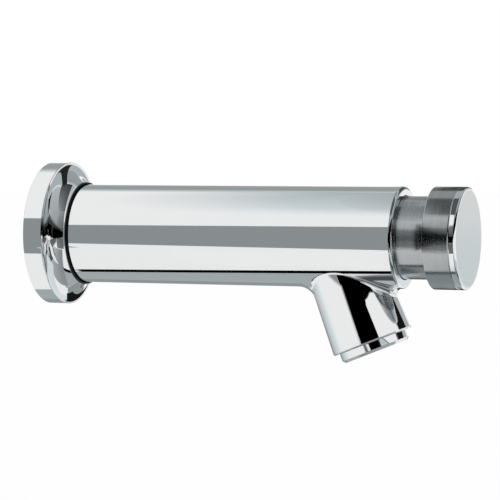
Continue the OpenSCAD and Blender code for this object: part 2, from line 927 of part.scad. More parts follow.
module stem_clip() {
    slot = stem_end_r * 1.6;
    color("slategray")
        difference() {
            turned()
                band(stem_end_r + fit_clear, clip_d / 2, piston_back - clip_t, piston_back);
            translate([piston_back - clip_t - eps, -slot / 2, 0])
                cube([clip_t + 2 * eps, slot, clip_d]);
        }
}

module seat_washer() {
    color("dimgray")
        turned()
            band(stem_end_r + fit_clear, washer_d / 2, seat_x - washer_t, seat_x);
}

module washer_holder() {
    cup_r = washer_d / 2 + fit_clear;
    back = seat_x - washer_t - cup_floor;
    color("goldenrod")
        turned() {
            band(stem_end_r + fit_clear, cup_r + cup_wall, back, back + cup_floor);
            band(cup_r, cup_r + cup_wall, back + cup_floor - eps, seat_x - washer_t / 3);
        }
}

module stem_nut() {
    back = seat_x - washer_t - cup_floor - nut_t;
    color("goldenrod")
        translate([back, 0, 0])
            rotate([0, 90, 0])
                linear_extrude(height = nut_t)
                    difference() {
                        hexagon(nut_flats);
                        circle(r = stem_end_r + fit_clear, $fn = fine);
                    }
}

module wall_flange() {
    recess_front = flange_rim - flange_face_wall;
    color("silver")
        turned()
            difference() {
                band(flange_bore_r, flange_r, 0, flange_depth);
                translate([flange_r, flange_rim + cove_r])
                    circle(r = cove_r, $fn = fine);
                band(flange_bore_r - eps, flange_r - flange_rim_wall, -eps, recess_front);
                groove(flange_bore_r - eps, flange_groove_r, flange_ring_x, flange_ring_t);
            }
}

module flange_o_ring() {
    color("dimgray")
        turned()
            ring_dot(barrel_r + run_clear + flange_ring_r, flange_ring_x, flange_ring_t);
}

tap_body();
inlet_nipple();
nipple_o_ring();
inlet_strainer();
cartridge_sleeve();
cartridge_o_rings();
stem_guide();
stem_o_ring();
guide_o_ring();
return_spring();
piston_circlip();
button_guide();
aerator_housing();
aerator_gasket();
aerator_insert();
aerator_screen();
push_button();
button_cap();
button_screw();
stem();
piston();
piston_seal();
timing_screw();
stem_clip();
seat_washer();
washer_holder();
stem_nut();
wall_flange();
flange_o_ring();
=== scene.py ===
# %% [markdown]
# # A push timed tap, dressed in Blender
# The tap is a chromed casting that stands out from a wall. A brushed button at its front end is
# pushed in, water runs from the short slanted spout, and a spring brings the button back slowly.
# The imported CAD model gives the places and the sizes. This lesson makes the surfaces that shine,
# because a mirror finish shows every flat facet, and gives every piece its own finish.

import json
import math

import bpy
import numpy as np
from mathutils import Matrix, Vector, geometry


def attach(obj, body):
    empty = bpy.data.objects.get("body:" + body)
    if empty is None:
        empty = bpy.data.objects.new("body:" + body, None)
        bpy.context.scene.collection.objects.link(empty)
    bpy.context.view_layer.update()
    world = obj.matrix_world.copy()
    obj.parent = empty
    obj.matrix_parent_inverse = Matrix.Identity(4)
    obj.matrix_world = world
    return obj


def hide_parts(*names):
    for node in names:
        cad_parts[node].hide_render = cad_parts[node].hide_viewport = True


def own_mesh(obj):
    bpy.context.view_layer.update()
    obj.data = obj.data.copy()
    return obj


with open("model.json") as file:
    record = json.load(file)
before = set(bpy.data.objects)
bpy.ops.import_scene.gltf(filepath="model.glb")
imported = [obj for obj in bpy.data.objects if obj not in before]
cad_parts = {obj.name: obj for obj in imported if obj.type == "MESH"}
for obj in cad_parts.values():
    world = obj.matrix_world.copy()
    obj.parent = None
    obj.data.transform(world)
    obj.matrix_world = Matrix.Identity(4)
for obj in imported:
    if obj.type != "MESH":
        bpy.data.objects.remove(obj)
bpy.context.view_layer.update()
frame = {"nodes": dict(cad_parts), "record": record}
scene = bpy.context.scene
mm = 0.001

# %% [markdown]
# ## The camera
# The photograph was taken from the front right, a little above the barrel, with a long lens. The
# camera stands at that angle and distance. It could be aimed with a tracking constraint, but three
# axes written into its matrix also give the small tilt that a hand-held picture has.

# %% Camera at the photograph's angle
view_azimuth, view_elevation = math.radians(20.44), math.radians(4.26)
view_roll = math.radians(-0.643)
view_distance, view_target = 0.8876, Vector((0.0821, 0, -0.00554))
sensor_mm, photo_pixels, focal_pixels = 36, 500, 2337.2
level = math.cos(view_elevation)
back = Vector((math.sin(view_azimuth) * level, -math.cos(view_azimuth) * level, math.sin(view_elevation)))
level_right = (-back).cross(Vector((0, 0, 1))).normalized()
level_up = back.cross(level_right)
right = level_right * math.cos(view_roll) + level_up * math.sin(view_roll)
up = level_up * math.cos(view_roll) - level_right * math.sin(view_roll)
camera = bpy.data.objects.new("camera", bpy.data.cameras.new("camera"))
facing = Matrix((right, up, back)).transposed().to_4x4()
camera.matrix_world = Matrix.Translation(view_target + back * view_distance) @ facing
camera.data.sensor_width = sensor_mm
camera.data.lens = sensor_mm * focal_pixels / photo_pixels
scene.collection.objects.link(camera)
scene.camera = camera
print("camera stands at", [round(v, 3) for v in camera.location], "lens", round(camera.data.lens, 1))

# %% [markdown]
# ## The room
# Polished chrome has hardly any colour of its own: what it shows is the room. So the room is made
# first. The world and the floor are plain white, as in a product studio. Grey and black cards stand
# round the tap, out of the camera's sight, and give the metal its dark bands. Lamps alone would
# leave the metal blank, and a picture of a room can't be used here.

# %% White world and floor
scene.view_settings.view_transform = "Standard"
world = bpy.data.worlds.new("white_room")
scene.world = world
world.use_nodes = True
sky = world.node_tree.nodes["Background"].inputs
sky["Color"].default_value = (1, 1, 1, 1)
sky["Strength"].default_value = 1.0

floor_z = -0.3
floor_mesh = bpy.data.meshes.new("floor")
floor_corners = [(-4, -4, floor_z), (4, -4, floor_z), (4, 6, floor_z), (-4, 6, floor_z)]
floor_mesh.from_pydata(floor_corners, [], [(0, 1, 2, 3)])
floor = bpy.data.objects.new("floor", floor_mesh)
scene.collection.objects.link(floor)
pale = bpy.data.materials.new("pale_floor")
pale.use_nodes = True
matt = pale.node_tree.nodes["Principled BSDF"].inputs
matt["Base Color"].default_value = (0.99, 0.99, 0.99, 1)
matt["Roughness"].default_value = 1.0
matt["Specular IOR Level"].default_value = 0.0
floor_mesh.materials.append(pale)
print("floor at", floor_z)

# %% One finish for all cards
card_finish = bpy.data.materials.new("card")
card_finish.use_nodes = True
card_nodes, card_links = card_finish.node_tree.nodes, card_finish.node_tree.links
card_nodes.clear()
tone_in = card_nodes.new("ShaderNodeAttribute")
tone_in.attribute_name = "tone"
cover_in = card_nodes.new("ShaderNodeAttribute")
cover_in.attribute_name = "cover"
card_glow = card_nodes.new("ShaderNodeEmission")
card_clear = card_nodes.new("ShaderNodeBsdfTransparent")
card_mix = card_nodes.new("ShaderNodeMixShader")
card_out = card_nodes.new("ShaderNodeOutputMaterial")
card_links.new(tone_in.outputs["Color"], card_glow.inputs["Color"])
card_links.new(cover_in.outputs["Fac"], card_mix.inputs["Fac"])
card_links.new(card_clear.outputs[0], card_mix.inputs[1])
card_links.new(card_glow.outputs[0], card_mix.inputs[2])
card_links.new(card_mix.outputs[0], card_out.inputs["Surface"])


def hang_card(name, points, faces, tones, cover):
    """A card that only mirrors see; each point, in mm, has a tone and a cover, from clear to full."""
    mesh = bpy.data.meshes.new(name)
    mesh.from_pydata((np.array(points) * mm).tolist(), [], faces)
    tone_data = mesh.attributes.new("tone", "FLOAT_COLOR", "POINT").data
    tone_data.foreach_set("color", np.array(tones, float).ravel())
    cover_data = mesh.attributes.new("cover", "FLOAT", "POINT").data
    cover_data.foreach_set("value", np.array(cover, float))
    mesh.materials.append(card_finish)
    piece = bpy.data.objects.new(name, mesh)
    scene.collection.objects.link(piece)
    piece.visible_camera = piece.visible_diffuse = False
    piece.visible_shadow = piece.visible_transmission = False


print("card finish has", len(card_nodes), "nodes")

# %% Two kinds of card
cool = np.array((0.93, 1.02, 1.05, 1.0))
white_from = 0.9
card_cuts, fade_cuts = 12, 4


def flat_card(name, tone, corners, fade):
    """One tone inside the corners, and a rim of fade mm round them that goes clear."""
    inner = np.array(corners, float)
    out = inner - inner.mean(0)
    outer = inner + out / np.linalg.norm(out, axis=1)[:, None] * fade
    n = len(inner)
    rim = [(i, (i + 1) % n, n + (i + 1) % n, n + i) for i in range(n)]
    colour = np.array((tone, tone, tone, 1)) * (cool if tone < white_from else 1)
    points, cover = np.concatenate([inner, outer]), [1] * n + [0] * n
    hang_card(name, points, [tuple(range(n))] + rim, [colour] * 2 * n, cover)


def card_steps(start, end):
    """Shares along a side, with more of them where its start and its end go clear."""
    fades = np.linspace(0, start, fade_cuts), 1 - np.linspace(0, end, fade_cuts)
    return np.unique(np.concatenate([np.linspace(0, 1, card_cuts), *fades]))


def shaded_card(name, tones, corners, fades):
    """Four corners with a tone each; a share of each side goes clear: left, right, low, high."""
    a, b, c, d = np.array(corners, float)
    left, right, low, high = fades
    steps_u, steps_v = card_steps(left, right), card_steps(low, high)
    points, colours, cover = [], [], []
    for v in steps_v:
        for u in steps_u:
            share = ((1 - u) * (1 - v), u * (1 - v), u * v, (1 - u) * v)
            points.append(a * share[0] + b * share[1] + c * share[2] + d * share[3])
            tone = np.dot(share, tones)
            colours.append(np.array((tone, tone, tone, 1)) * cool)
            sides = ((left, u), (right, 1 - u), (low, v), (high, 1 - v))
            cover.append(np.prod([1 if edge == 0 else min(1, at / edge) for edge, at in sides]))
    w, h = len(steps_u), len(steps_v)
    spots = [i * w + j for i in range(h - 1) for j in range(w - 1)]
    hang_card(name, points, [(s, s + 1, s + w + 1, s + w) for s in spots], colours, cover)


print("a shaded card blends its four tones over at least", card_cuts, "x", card_cuts, "spots")

# %% Tables of cards
def standing(start, end, low, high):
    """Corners of an upright card above the line from start to end."""
    return [(*start, low), (*end, low), (*end, high), (*start, high)]


def lying(height, *places):
    """Corners of a level card."""
    return [(x, y, height) for x, y in places]


def hang_all(rows):
    """Cards from rows of name, tone or four tones, corners in mm, and how they fade."""
    for name, tone, corners, fade in rows:
        kind = shaded_card if isinstance(tone, tuple) else flat_card
        kind("card_" + name, tone, corners, fade)
    print(len(rows), "cards:", ", ".join(row[0] for row in rows))


print("an upright card has corners such as", standing((0, -500), (30, -500), -60, 140)[0])

# %% Cards in front of the tap
front_grey = [(-246, -500, -172), (0, -500, -230), (0, -500, 256), (-246, -500, 204)]
black = [(27, -420, -52), (215, -130, -30), (215, -130, 60), (27, -420, 90)]
black_far = [(150, -480, -50), (420, -120, -45), (420, -120, 165), (150, -480, 120)]
black_side = [(420, -120, -45), (420, 90, -45), (420, 90, 110), (420, -120, 165)]
right_side = [(432, -500, 150), (432, 340, 100), (432, 340, 900), (432, -500, 900)]
spout_white = [(50, -36, -60), (128, -36, -60), (117, -36, -17.5), (50, -36, -17.5)]
spout_top = [(157, -75, -12), (212, 11, 2), (212, 11, 32), (157, -75, 32)]
spout_pear = [
    (168.4, -55.6, -20),
    (210.1, 9.7, -20),
    (210.1, 9.7, 10),
    (198.4, -8.6, 11),
    (188.7, -23.8, 8.5),
    (179.5, -38.2, 5.5),
    (172.7, -48.9, 1.5),
    (167.2, -57.4, -1),
    (165.2, -60.4, -4),
]
spout_ring = [(173.4, -47.6, -45.5), (210.1, 9.7, -45.5), (210.1, 9.7, -21), (168.8, -55.0, -21)]
hang_all(
    [
        ("front_grey", 0.32, front_grey, 4),
        ("front_left", 0.32, standing((-700, -501), (-236, -501), -285, 250), 1),
        ("spout_white", 1.0, spout_white, 4),
        ("black", (0, 0, 0, 0), black, (0, 0, 0.1, 0.3)),
        ("black_far", (0, 0, 0.08, 0.08), black_far, (0, 0, 0.08, 0.2)),
        ("black_side", (0, 0, 0.1, 0.08), black_side, (0, 0.1, 0.1, 0.2)),
        ("grey_high", (0.12, 0.25, 0.45, 0.4), standing((4, -500), (430, -500), 60, 900), (0.02, 0, 0.03, 0)),
        (
            "grey_low",
            (0.18, 0.25, 0.2, 0.12),
            standing((2, -500), (420, -500), -285, -45),
            (0.01, 0.05, 0, 0.1),
        ),
        ("right", (0.35, 0.55, 0.6, 0.5), right_side, (0, 0.1, 0.04, 0)),
        ("spout_low", 0.1, standing((148, -89), (214, 14), -105, -46), 1),
        ("spout_top", 0.0, spout_top, 1),
        ("front_gap", 0.02, standing((4, -500), (30, -500), -60, 140), 3),
        ("spout_pear", 1.0, spout_pear, 1),
        ("right_low", 0.8, standing((432, 30), (432, 600), -285, -85), 10),
        ("spout_ring", 0.62, spout_ring, 0.5),
        ("right_back", 0.5, standing((434, 326), (290, 600), 30, 700), 3),
    ]
)

# %% Cards below, above and behind the tap
under_line = lying(-290, (-109, -9.5), (160, -121), (160, -77), (-109, 34.5))
under = lying(-292, (-300, 114), (-250, 93), (160, -77), (160, 260), (-300, 260))
floor_right = lying(-288, (75, -480), (700, -480), (700, 200), (75, 200))
over_left = lying(500, (-190, -420), (-38, -420), (-38, 330), (-190, 330))
over_mid = lying(500, (-38, -420), (3, -420), (3, 330), (-38, 330))
over_far = lying(500, (4, -420), (420, -420), (420, 330), (4, 330))
roof_front = lying(48, (143, -40), (180, -40), (180, -4), (143, -4))
roof_mid = lying(48, (143, -3), (180, -3), (180, 24), (143, 24))
roof_back = [(143, 25, 48), (180, 25, 48), (180, 70, 30), (143, 70, 30)]
streak = [(141, 300, 41), (190, 300, 41), (442, 300, 653), (187, 300, 437)]
hang_all(
    [
        ("under_line", 0.0, under_line, 4),
        ("under", 0.45, under, 2),
        ("under_back", 0.33, standing((-200, 262), (120, 262), -292, -85), 10),
        ("floor_right", (0.25, 0.6, 0.6, 0.3), floor_right, (0.05, 0, 0, 0)),
        ("left_back", (1.0, 0.5, 0.4, 1.0), standing((-420, -150), (-420, 430), -285, 60), (0.3, 0, 0, 0.1)),
        ("over_left", (0.95, 0.85, 0.5, 0.6), over_left, (0.8, 0, 0.3, 0)),
        ("over_far", (0.12, 0.4, 0.05, 0.05), over_far, (0.02, 0, 0, 0)),
        ("top_back", (0.36, 0.4, 0.3, 0.44), standing((-900, 600), (290, 600), 170, 1100), (0, 0, 0.03, 0.5)),
        ("back_right", 0.01, standing((302, 200), (389, 75), 32, 122), 6),
        ("streak", 0.02, streak, 10),
        ("back_low", 0.01, standing((52, 258), (135, 258), -175, -62), 3),
        ("over_mid", (0.8, 0.7, 0.4, 0.5), over_mid, (0, 0, 0.3, 0)),
        (
            "side_low",
            (0.2, 0.2, 0.12, 0.12),
            standing((430, -500), (430, 120), -170, -45),
            (0, 0.1, 0.3, 0.1),
        ),
        ("back_mid", 0.5, standing((-40, 601), (290, 601), 45, 180), 6),
        ("roof_front", 0.1, roof_front, 2),
        ("roof_mid", 0.45, roof_mid, 1),
        ("roof_back", 0.08, roof_back, 1),
        (
            "left_high",
            (0.3, 0.3, 0.85, 0.85),
            standing((-420, -260), (-420, 300), 60, 380),
            (0.1, 0.1, 0, 0.1),
        ),
        ("knob_front", 0.0, standing((150, -66), (150, -20), -7, 12), 1),
        ("back_side_low", 0.85, standing((290, 600), (434, 600), -285, -40), 4),
    ]
)

# %% [markdown]
# ## Finishes
# The tap is chrome outside, a brushed button with a polished cap in front, and brass, steel, rubber
# and white plastic within. Each finish is a Principled shader whose colour, roughness and bump come
# from noise on Object coordinates, so they need no UV map and stay put when a piece moves. Effects
# that several finishes share are node groups: marks of the lathe, haze on a polish, moulded grain.

# %% Helpers for node trees
def add_node(tree, kind, inputs=(), **settings):
    """A node with its settings made and its inputs set or linked."""
    made = tree.nodes.new(kind)
    for key, value in settings.items():
        setattr(made, key, value)
    for key, value in dict(inputs).items():
        if isinstance(value, bpy.types.NodeSocket):
            tree.links.new(value, made.inputs[key])
        else:
            made.inputs[key].default_value = value
    return made


def one(tree, kind, inputs=(), **settings):
    """The first output of a new node."""
    return add_node(tree, kind, inputs, **settings).outputs[0]


def maths(tree, operation, first, second=0.0):
    return one(tree, "ShaderNodeMath", {0: first, 1: second}, operation=operation)


def spread(tree, value, low, high, start=0.0, end=1.0):
    """The value's span from start to end, stretched to run from low to high and held there."""
    sizes = {"Value": value, "From Min": start, "From Max": end, "To Min": low, "To Max": high}
    return one(tree, "ShaderNodeMapRange", sizes)


def over_noise(tree, value, low, high):
    """The same for a noise, which seldom leaves the span from 0.3 to 0.7."""
    return spread(tree, value, low, high, 0.3, 0.7)


def noise(tree, place, scale, detail, roughness=0.5):
    sizes = {"Vector": place, "Scale": scale, "Detail": detail, "Roughness": roughness}
    return one(tree, "ShaderNodeTexNoise", sizes)


def start_group(name, inputs, outputs):
    """A shader node group with named inputs and outputs."""
    group = bpy.data.node_groups.new(name, "ShaderNodeTree")
    for label in inputs:
        kind = "NodeSocketVector" if label == "Place" else "NodeSocketFloat"
        group.interface.new_socket(label, in_out="INPUT", socket_type=kind)
    for label in outputs:
        group.interface.new_socket(label, in_out="OUTPUT", socket_type="NodeSocketFloat")
    return group, add_node(group, "NodeGroupInput").outputs, add_node(group, "NodeGroupOutput").inputs


print(
    "helpers:", ", ".join(f.__name__ for f in (add_node, one, maths, spread, over_noise, noise, start_group))
)

# %% Marks of the lathe
labels = ["Place", "Lines per Metre", "Waver"]
lathe_marks, sizes, results = start_group("lathe_marks", labels, ["Marks", "Radius"])
split = add_node(lathe_marks, "ShaderNodeSeparateXYZ", {0: sizes["Place"]}).outputs
across = one(lathe_marks, "ShaderNodeCombineXYZ", {"Y": split["Y"], "Z": split["Z"]})
radius = add_node(lathe_marks, "ShaderNodeVectorMath", {0: across}, operation="LENGTH").outputs["Value"]
tool_path = maths(
    lathe_marks, "MULTIPLY", maths(lathe_marks, "ADD", split["X"], radius), sizes["Lines per Metre"]
)
turn = one(lathe_marks, "ShaderNodeVectorMath", {0: across}, operation="NORMALIZE")
wavering = one(lathe_marks, "ShaderNodeVectorMath", {0: turn, "Scale": sizes["Waver"]}, operation="SCALE")
line_place = one(lathe_marks, "ShaderNodeCombineXYZ", {"X": tool_path})
line_place = one(lathe_marks, "ShaderNodeVectorMath", {0: line_place, 1: wavering}, operation="ADD")
lines = noise(lathe_marks, line_place, 1.0, 3.0, 0.6)
lathe_marks.links.new(lines, results["Marks"])
lathe_marks.links.new(radius, results["Radius"])
print("lathe marks: lines that run round the X axis,", len(lathe_marks.nodes), "nodes")

# %% Haze on a polish, and moulded grain
polish_haze, sizes, results = start_group("polish_haze", ["Place"], ["Haze", "Ripple"])
wide = noise(polish_haze, sizes["Place"], 45.0, 2.0)
fine = noise(polish_haze, sizes["Place"], 900.0, 4.0)
polish_haze.links.new(maths(polish_haze, "MULTIPLY", wide, fine), results["Haze"])
polish_haze.links.new(wide, results["Ripple"])

labels = ["Place", "Grains per Metre"]
moulded_grain, sizes, results = start_group("moulded_grain", labels, ["Grain", "Mottle"])
pits = noise(moulded_grain, sizes["Place"], sizes["Grains per Metre"], 3.0)
cloud = noise(moulded_grain, sizes["Place"], 220.0, 4.0)
moulded_grain.links.new(pits, results["Grain"])
moulded_grain.links.new(cloud, results["Mottle"])
print("polish haze and moulded grain:", len(polish_haze.nodes), "and", len(moulded_grain.nodes), "nodes")

# %% A finish to start from
def start_finish(name, metallic):
    finish = bpy.data.materials.new(name)
    finish.use_nodes = True
    tree = finish.node_tree
    shader = tree.nodes["Principled BSDF"]
    shader.inputs["Metallic"].default_value = metallic
    return finish, tree, shader, add_node(tree, "ShaderNodeTexCoord").outputs["Object"]


def use_group(tree, group, **inputs):
    named = {label.replace("_", " "): value for label, value in inputs.items()}
    return add_node(tree, "ShaderNodeGroup", named, node_tree=group).outputs


def tint(tree, share, low, high):
    """A colour between low and high."""
    mix = add_node(tree, "ShaderNodeMix", {0: share}, data_type="RGBA")
    for key, colour in ((6, low), (7, high)):
        if isinstance(colour, bpy.types.NodeSocket):
            tree.links.new(colour, mix.inputs[key])
        else:
            mix.inputs[key].default_value = (*colour, 1)
    return mix.outputs[2]


def bump(tree, shader, height, distance):
    made = add_node(tree, "ShaderNodeBump", {"Height": height, "Distance": distance, "Strength": 1.0})
    tree.links.new(made.outputs[0], shader.inputs["Normal"])


def paint(tree, shader, colour, rough):
    tree.links.new(colour, shader.inputs["Base Color"])
    tree.links.new(rough, shader.inputs["Roughness"])


print("helpers:", ", ".join(f.__name__ for f in (start_finish, use_group, tint, bump, paint)))

# %% [markdown]
# ### Chrome
# Plating is a thin bright layer on polished brass. It is not perfectly even: hand polishing leaves
# ripples of a few thousandths of a millimetre, and wiping leaves a breath of haze. The flange gets
# a second chrome, with painted shade: a near-black line along its lip, where it meets the barrel.

# %% Chrome for the casting and for the flange
def chrome_base(name):
    finish, tree, shader, place = start_finish(name, 1.0)
    haze = use_group(tree, polish_haze, Place=place)
    colour = tint(tree, haze["Haze"], (0.80, 0.805, 0.81), (0.85, 0.85, 0.85))
    rough = spread(tree, haze["Haze"], 0.012, 0.05, 0.1, 0.5)
    bump(tree, shader, haze["Ripple"], 0.000004)
    return finish, tree, shader, place, colour, rough


chrome, tree, shader, place, colour, rough = chrome_base("chrome_plating")
paint(tree, shader, colour, rough)

flange_chrome, tree, shader, place, colour, rough = chrome_base("chrome_flange_painted_lip_shade")
radius = use_group(tree, lathe_marks, Place=place, Lines_per_Metre=300.0, Waver=2.0)["Radius"]
along = add_node(tree, "ShaderNodeSeparateXYZ", {0: place}).outputs["X"]
lip_back, lip_front, lip_inner, lip_outer = 0.0136, 0.0141, 0.0200, 0.0203
# Painted shade: near the lip's bore and front face the colour goes almost black and a little rougher. It
# stands in for the shade of the gap between the lip and the barrel.
at_front, at_bore = spread(tree, along, 0, 1, lip_back, lip_front), spread(
    tree, radius, 1, 0, lip_inner, lip_outer
)
painted_lip_shade = maths(tree, "MULTIPLY", at_front, at_bore)
colour = tint(tree, painted_lip_shade, colour, (0.012, 0.013, 0.014))
paint(tree, shader, colour, maths(tree, "ADD", rough, maths(tree, "MULTIPLY", painted_lip_shade, 0.5)))
print("finishes:", chrome.name, flange_chrome.name)

# %% [markdown]
# ### Brushed button and polished cap
# The button was brushed while it turned, so its fine lines run round the axis. Such lines spread a
# reflection along the axis and keep it sharp across, which is what the anisotropy of the shader
# does once its tangent goes round X. The cap's rim is polished and its face is finely satined.

# %% Brushed button
brushed, tree, shader, place = start_finish("brushed_button", 1.0)
marks = use_group(tree, lathe_marks, Place=place, Lines_per_Metre=5200.0, Waver=1.4)["Marks"]
colour = tint(tree, over_noise(tree, marks, 0, 1), (0.43, 0.44, 0.445), (0.60, 0.61, 0.615))
paint(tree, shader, colour, over_noise(tree, marks, 0.17, 0.27))
bump(tree, shader, marks, 0.000006)
shader.inputs["Anisotropic"].default_value = 0.85
shader.inputs["Anisotropic Rotation"].default_value = 0.25
round_axis = add_node(tree, "ShaderNodeTangent", direction_type="RADIAL", axis="X")
tree.links.new(round_axis.outputs[0], shader.inputs["Tangent"])
print("brushed button:", len(tree.nodes), "nodes, lines round the X axis")

# %% Polished cap with a satin face
cap_finish, tree, shader, place = start_finish("satin_cap", 1.0)
haze = use_group(tree, polish_haze, Place=place)["Haze"]
made = use_group(tree, lathe_marks, Place=place, Lines_per_Metre=6500.0, Waver=2.5)
face_inner, face_outer = 0.0176, 0.0181
in_face = spread(tree, made["Radius"], 1, 0, face_inner, face_outer)
satin = over_noise(tree, made["Marks"], 0.17, 0.25)
polish = spread(tree, haze, 0.015, 0.05, 0.1, 0.5)
rough = one(tree, "ShaderNodeMix", {0: in_face, 2: polish, 3: satin})
tree.links.new(rough, shader.inputs["Roughness"])
face_tint = tint(tree, made["Marks"], (0.55, 0.56, 0.565), (0.61, 0.62, 0.62))
tree.links.new(tint(tree, in_face, (0.82, 0.825, 0.83), face_tint), shader.inputs["Base Color"])
bump(tree, shader, maths(tree, "MULTIPLY", made["Marks"], in_face), 0.000003)
print("finishes:", brushed.name, cap_finish.name)

# %% [markdown]
# ### Brass, steel, rubber and plastic of the valve
# Most of these pieces sit inside the body. They still get the marks of how they were made: turned
# brass with a little tarnish, drawn steel, moulded rubber with dust in its pits, moulded plastic.

# %% Brass and steel
brass, tree, shader, place = start_finish("turned_brass", 1.0)
marks = use_group(tree, lathe_marks, Place=place, Lines_per_Metre=3000.0, Waver=1.0)["Marks"]
haze = use_group(tree, polish_haze, Place=place)
bright = tint(tree, marks, (0.66, 0.49, 0.23), (0.78, 0.61, 0.33))
colour = tint(tree, spread(tree, haze["Ripple"], 0, 0.6, 0.45, 0.75), bright, (0.42, 0.29, 0.14))
paint(tree, shader, colour, over_noise(tree, marks, 0.18, 0.36))
bump(tree, shader, marks, 0.000012)

steel, tree, shader, place = start_finish("plain_steel", 1.0)
marks = use_group(tree, lathe_marks, Place=place, Lines_per_Metre=4200.0, Waver=6.0)["Marks"]
colour = tint(tree, marks, (0.54, 0.55, 0.56), (0.66, 0.67, 0.68))
paint(tree, shader, colour, over_noise(tree, marks, 0.2, 0.36))
bump(tree, shader, marks, 0.000008)
print("finishes:", brass.name, steel.name)

# %% Rubber and white plastic
rubber, tree, shader, place = start_finish("moulded_rubber", 0.0)
grain = use_group(tree, moulded_grain, Place=place, Grains_per_Metre=4500.0)
colour = tint(tree, grain["Mottle"], (0.022, 0.022, 0.024), (0.045, 0.044, 0.043))
paint(tree, shader, colour, over_noise(tree, grain["Grain"], 0.5, 0.75))
bump(tree, shader, grain["Grain"], 0.00003)

acetal, tree, shader, place = start_finish("moulded_acetal", 0.0)
grain = use_group(tree, moulded_grain, Place=place, Grains_per_Metre=2600.0)
colour = tint(tree, grain["Mottle"], (0.85, 0.85, 0.82), (0.90, 0.90, 0.89))
paint(tree, shader, colour, over_noise(tree, grain["Grain"], 0.36, 0.5))
bump(tree, shader, grain["Grain"], 0.00002)
print("finishes:", rubber.name, acetal.name)

# %% [markdown]
# ## Turned pieces
# Barrel, flange, button and aerator ring are all turned shapes: a profile that goes once round an
# axis. The Screw modifier can do this, but its smoothed normals bend the reflection beside every
# small rounding. Here each profile corner knows its own rounding and each face gets the exact
# normal of the turned surface, so the mirror image stays true with few faces.

# %% Profiles and sewn meshes
def left_of(d):
    return np.array((-d[1], d[0]))


def outline(corners, arc_steps=6):
    """Rows of (place, normal before, normal after) of a closed profile of (along, radius, rounding) in mm."""
    rows = []
    for i, (along, radius, rounding) in enumerate(corners):
        here = np.array((along, radius), float)
        before = here - np.array(corners[i - 1][:2], float)
        after = np.array(corners[(i + 1) % len(corners)][:2], float) - here
        before, after = before / np.linalg.norm(before), after / np.linalg.norm(after)
        if rounding == 0:
            rows.append((here, left_of(before), left_of(after)))
            continue
        bend = math.atan2(before[0] * after[1] - before[1] * after[0], before @ after)
        side = math.copysign(1, bend)
        centre = here - before * rounding * math.tan(abs(bend) / 2) + left_of(before) * rounding * side
        for k in range(arc_steps + 1):
            c, s = math.cos(bend * k / arc_steps), math.sin(bend * k / arc_steps)
            out = left_of(np.array((before[0] * c - before[1] * s, before[0] * s + before[1] * c)))
            rows.append((centre - out * rounding * side, out, out))
    return rows


def ring(along, radius, angles):
    return np.stack([np.full_like(angles, along), radius * np.sin(angles), -radius * np.cos(angles)], 1)


def turned_faces(corners, steps, skip=(), arc_steps=6):
    """Faces, as corner places and normals, of a profile turned about X; skip leaves out profile edges."""
    angles = np.linspace(-math.pi, math.pi, steps + 1)
    rows = outline(corners, arc_steps)
    faces = []
    for k, (here, _, n0) in enumerate(rows):
        there, n1, _ = rows[(k + 1) % len(rows)]
        if k in skip or (here[1] < 1e-6 and there[1] < 1e-6):
            continue
        p, q = ring(*here, angles), ring(*there, angles)
        a, b = ring(*n0, angles), ring(*n1, angles)
        for j in range(steps):
            spots = [(p[j], a[j]), (p[j + 1], a[j + 1]), (q[j + 1], b[j + 1]), (q[j], b[j])]
            if here[1] < 1e-6:
                spots = spots[1:]
            if there[1] < 1e-6:
                spots = spots[:3]
            faces.append((np.array([s[0] for s in spots]), np.array([s[1] for s in spots])))
    return faces


# Places are merged by cells of 0.0005 mm; the shift keeps round values off the cells' edges.
cells_per_mm, cell_shift = 2000, 0.3137


def sew(name, faces, place=Matrix.Identity(4)):
    """One mesh object from faces in mm: places that agree are merged and every corner keeps its normal."""
    m = np.array(place)
    points = np.concatenate([f[0] for f in faces]) @ m[:3, :3].T + m[:3, 3]
    normals = np.concatenate([f[1] for f in faces]) @ m[:3, :3].T
    keys = np.floor(points * cells_per_mm + cell_shift).astype(np.int64)
    _, first, index = np.unique(keys, axis=0, return_index=True, return_inverse=True)
    index = index.reshape(-1)
    polygons, order, at = [], [], 0
    for f in faces:
        corner = list(range(at, at + len(f[0])))
        at += len(f[0])
        ids = index[corner]
        if len(set(ids)) < 3:
            continue
        flat = np.cross(points[corner[1]] - points[corner[0]], points[corner[2]] - points[corner[0]])
        if flat @ normals[corner].sum(0) < 0:
            corner.reverse()
        kept = [c for n, c in enumerate(corner) if index[c] != index[corner[n - 1]]]
        polygons.append([int(index[c]) for c in kept])
        order.extend(kept)
    mesh = bpy.data.meshes.new(name)
    mesh.from_pydata((points[first] * mm).tolist(), [], polygons)
    mesh.shade_smooth()
    unit = normals[order] / np.linalg.norm(normals[order], axis=1)[:, None]
    mesh.normals_split_custom_set(unit.tolist())
    piece = bpy.data.objects.new(name, mesh)
    scene.collection.objects.link(piece)
    print(name, "has", len(mesh.polygons), "faces")
    return piece


rounded_square = outline([(0, 1, 0.2), (1, 1, 0.2), (1, 0, 0.2), (0, 0, 0.2)])
print("a square with four roundings has", len(rounded_square), "profile rows")

# %% [markdown]
# ## The wall flange
# The flange is a spun cover that hides the pipe in the wall. It has a straight rim and a hollowed
# face that rises to a thin lip at the barrel. The hollow is one large rounding of its profile.

